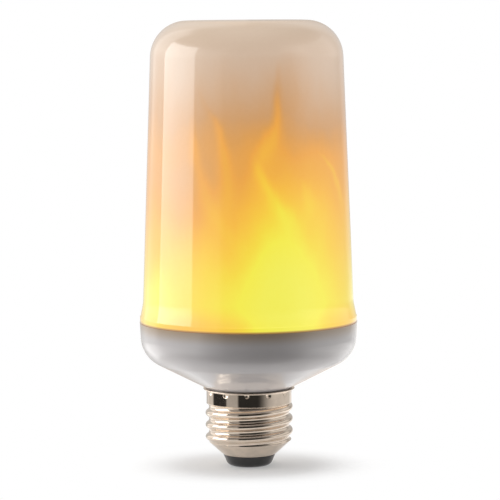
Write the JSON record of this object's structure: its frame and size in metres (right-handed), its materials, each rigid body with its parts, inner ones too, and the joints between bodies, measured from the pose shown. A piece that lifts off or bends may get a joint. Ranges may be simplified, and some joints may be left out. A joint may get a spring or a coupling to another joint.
{
  "type": "flame effect led bulb",
  "caption": "LED lamp bulb with a tall milky cover that glows like a flame, a white bowl-shaped base housing and a nickel plated Edison screw cap.",
  "frame": {"origin": "middle of the centre contact's face at the foot of the screw cap", "axes": "+Z along the axis from the cap to the flat top of the cover, -Y towards the viewer of the picture"},
  "size_m": [0.065, 0.065, 0.1335],
  "materials": {
    "diffuser_plastic": "milky, lit from inside",
    "housing_plastic": "smooth moulded gloss",
    "cap_metal": "nickel plated rolled sheet",
    "insulator_plastic": "moulded gloss",
    "contact_metal": "plated rivet",
    "carrier_plastic": "moulded",
    "light_board": "white solder mask",
    "light_package": "phosphor window, lit",
    "driver_laminate": "green solder mask",
    "can_sleeve": "shrunk sleeve",
    "ferrite": "sintered",
    "copper": "enamelled wire",
    "chip_body": "moulded",
    "resistor_body": "lacquered",
    "wire_red": "insulated",
    "wire_white": "insulated",
    "screw_steel": "plated"
  },
  "bodies": {
    "root": {"diffuser_cover": "diffuser_plastic", "base_housing": "housing_plastic", "screw_shell": "cap_metal", "cap_insulator": "insulator_plastic", "centre_contact": "contact_metal", "led_carrier": "carrier_plastic", "led_wrap_board": "light_board", "side_leds": "light_package", "top_led_board": "light_board", "top_leds": "light_package", "driver_board": "driver_laminate", "input_capacitor": "can_sleeve", "output_capacitor": "can_sleeve", "choke_core": "ferrite", "choke_winding": "copper", "controller_chip": "chip_body", "bridge_rectifier": "chip_body", "fusible_resistor": "resistor_body", "live_lead": "wire_red", "neutral_lead": "wire_white", "led_leads": "wire_red", "carrier_screws": "screw_steel"}
  },
  "joints": []
}
